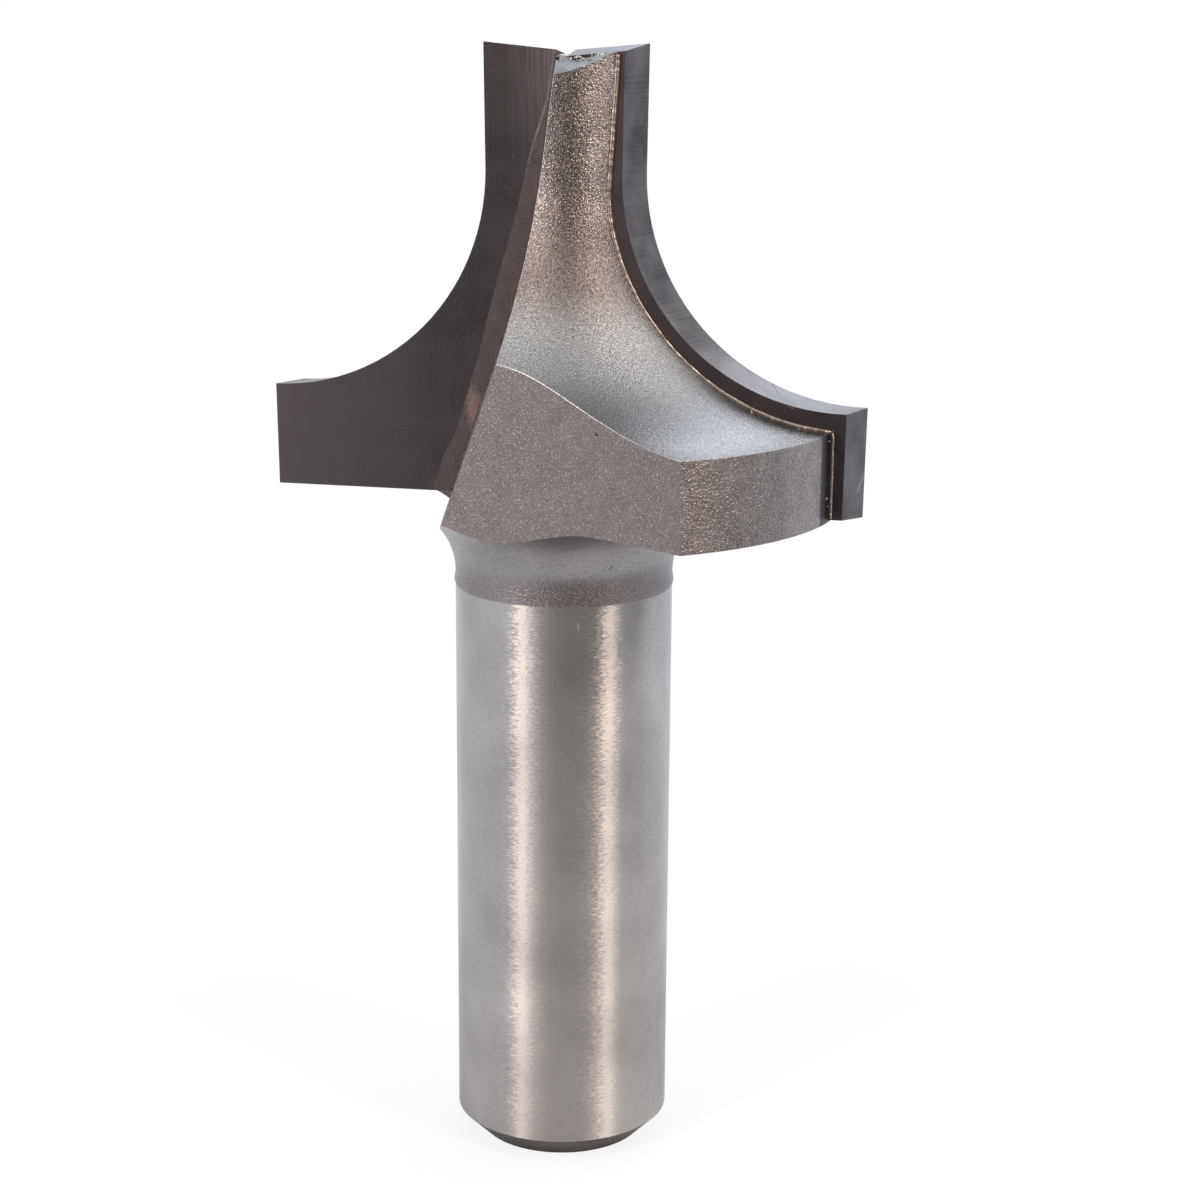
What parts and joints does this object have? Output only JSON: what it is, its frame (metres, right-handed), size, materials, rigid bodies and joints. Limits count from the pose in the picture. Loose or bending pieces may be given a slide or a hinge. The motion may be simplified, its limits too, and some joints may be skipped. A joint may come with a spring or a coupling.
{
  "type": "router bit",
  "caption": "Round-over router bit: straight shank, flared steel head with a concave cutting profile, brazed carbide cutters, open gullets.",
  "frame": {"origin": "centre of the flat end of the shank, on the turning axis", "axes": "+Z along the turning axis from the shank to the cutting tip; the rake faces of both cutters lie in the plane Y = 0 and the cutters point to -X and +X"},
  "size_m": [0.035, 0.0262, 0.065],
  "materials": {
    "steel": "ground satin shank, blasted nickel-grey head",
    "carbide": "ground dark sintered carbide",
    "braze": "as-brazed silver solder bead"
  },
  "bodies": {
    "root": {"steel_body": "steel", "carbide_cutter_1": "carbide", "carbide_cutter_2": "carbide", "braze_joint_1": "braze", "braze_joint_2": "braze"}
  },
  "joints": []
}
